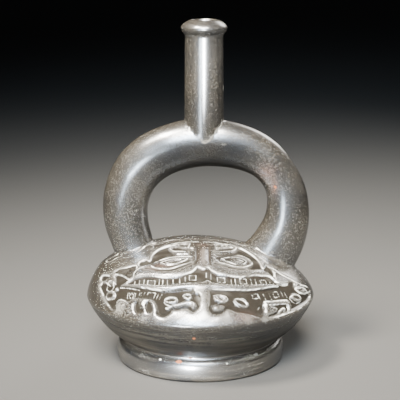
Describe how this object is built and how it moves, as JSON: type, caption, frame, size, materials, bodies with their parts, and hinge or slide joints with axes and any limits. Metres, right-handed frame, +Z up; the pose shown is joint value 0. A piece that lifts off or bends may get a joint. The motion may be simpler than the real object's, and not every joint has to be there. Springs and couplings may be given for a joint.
{
  "type": "stirrup spout vessel",
  "caption": "Hollow pottery bottle: a carved round chamber on a ring foot, with a hollow stirrup handle that joins into one upright spout with a rolled lip.",
  "frame": {"origin": "centre of the ring foot's underside, on the surface the vessel stands on", "axes": "+Z up the spout, -Y towards the side the carved face looks to, +X to the right of that face as seen from the front"},
  "size_m": [0.1548, 0.1548, 0.229],
  "materials": {
    "clay": "burnished dark clay, satin, worn, with pale deposit in the carving"
  },
  "bodies": {
    "root": {"vessel": "clay"}
  },
  "joints": []
}
